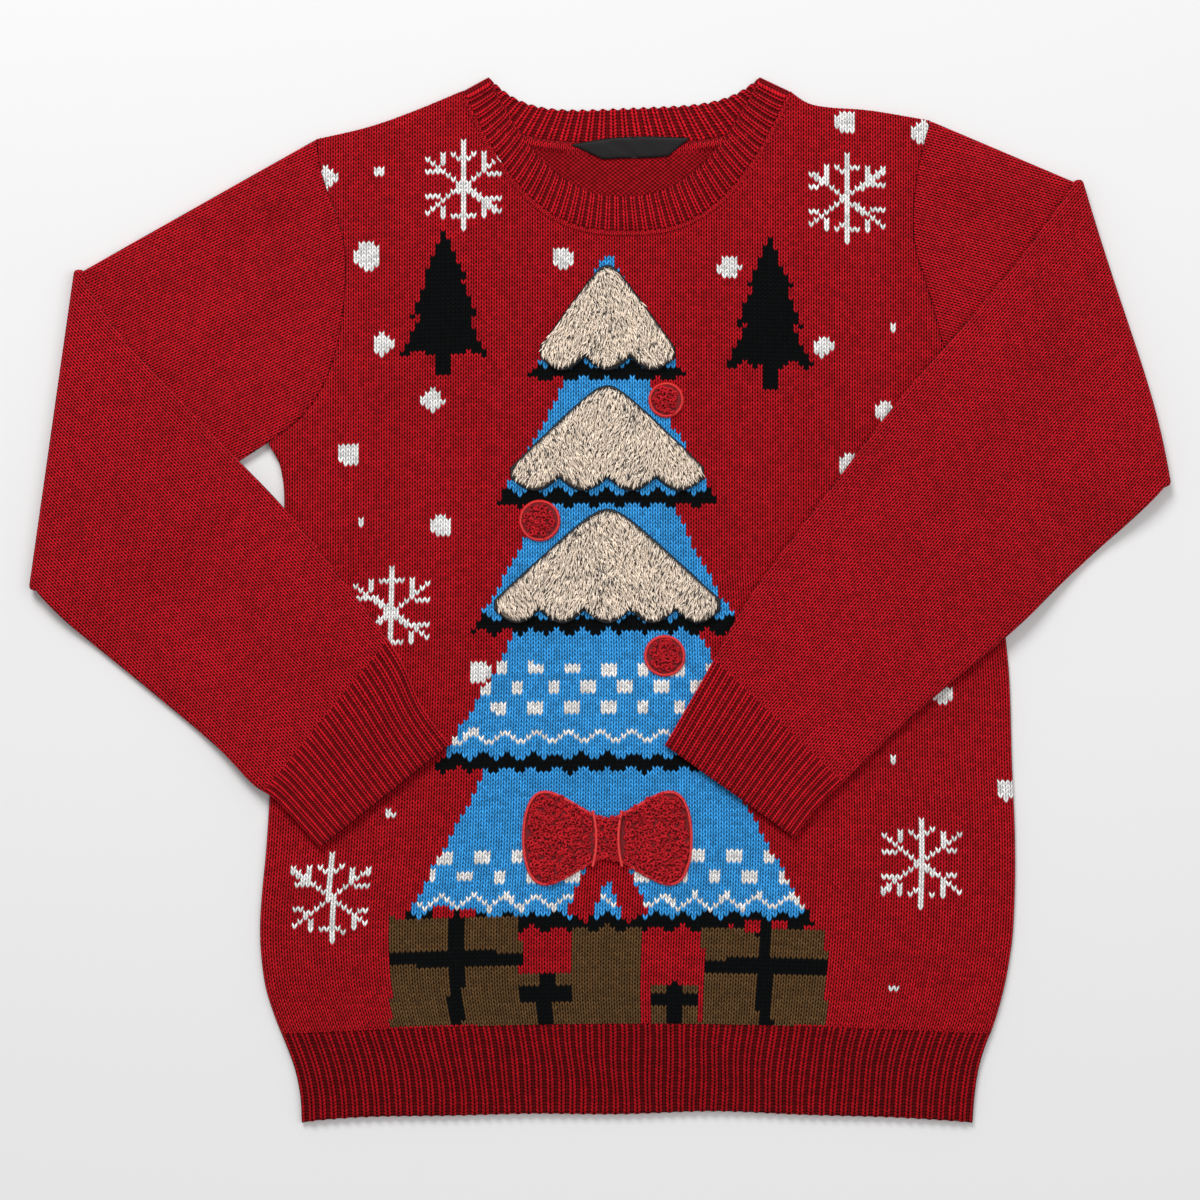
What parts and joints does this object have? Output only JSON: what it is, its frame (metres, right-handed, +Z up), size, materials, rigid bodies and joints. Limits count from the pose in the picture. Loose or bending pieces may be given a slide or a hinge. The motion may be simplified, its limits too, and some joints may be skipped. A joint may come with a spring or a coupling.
{
  "type": "christmas sweater",
  "caption": "Crew-neck knitted jumper laid flat, sleeves folded in across the front, with ribbed hem, cuffs and neckband and pile patches.",
  "frame": {"origin": "middle of the bounding box, on the surface that the sweater lies on", "axes": "+X to the wearer's left, which is on the right when the front is looked at; +Y from the hem to the neck; +Z up, out of the front"},
  "size_m": [0.7756, 0.712, 0.0143],
  "materials": {
    "knit": "plain knit and 1x1 rib, matt wool-like yarn",
    "label": "woven satin",
    "fur": "long pile with dark tips",
    "loop": "looped pile"
  },
  "bodies": {
    "root": {"back": "knit", "front": "knit", "neckband": "knit", "sleeve_right": "knit", "sleeve_left": "knit", "neck_label": "label", "snow_upper": "fur", "snow_middle": "fur", "snow_lower": "fur", "bow": "loop", "bauble_upper": "loop", "bauble_middle": "loop", "bauble_lower": "loop"}
  },
  "joints": []
}
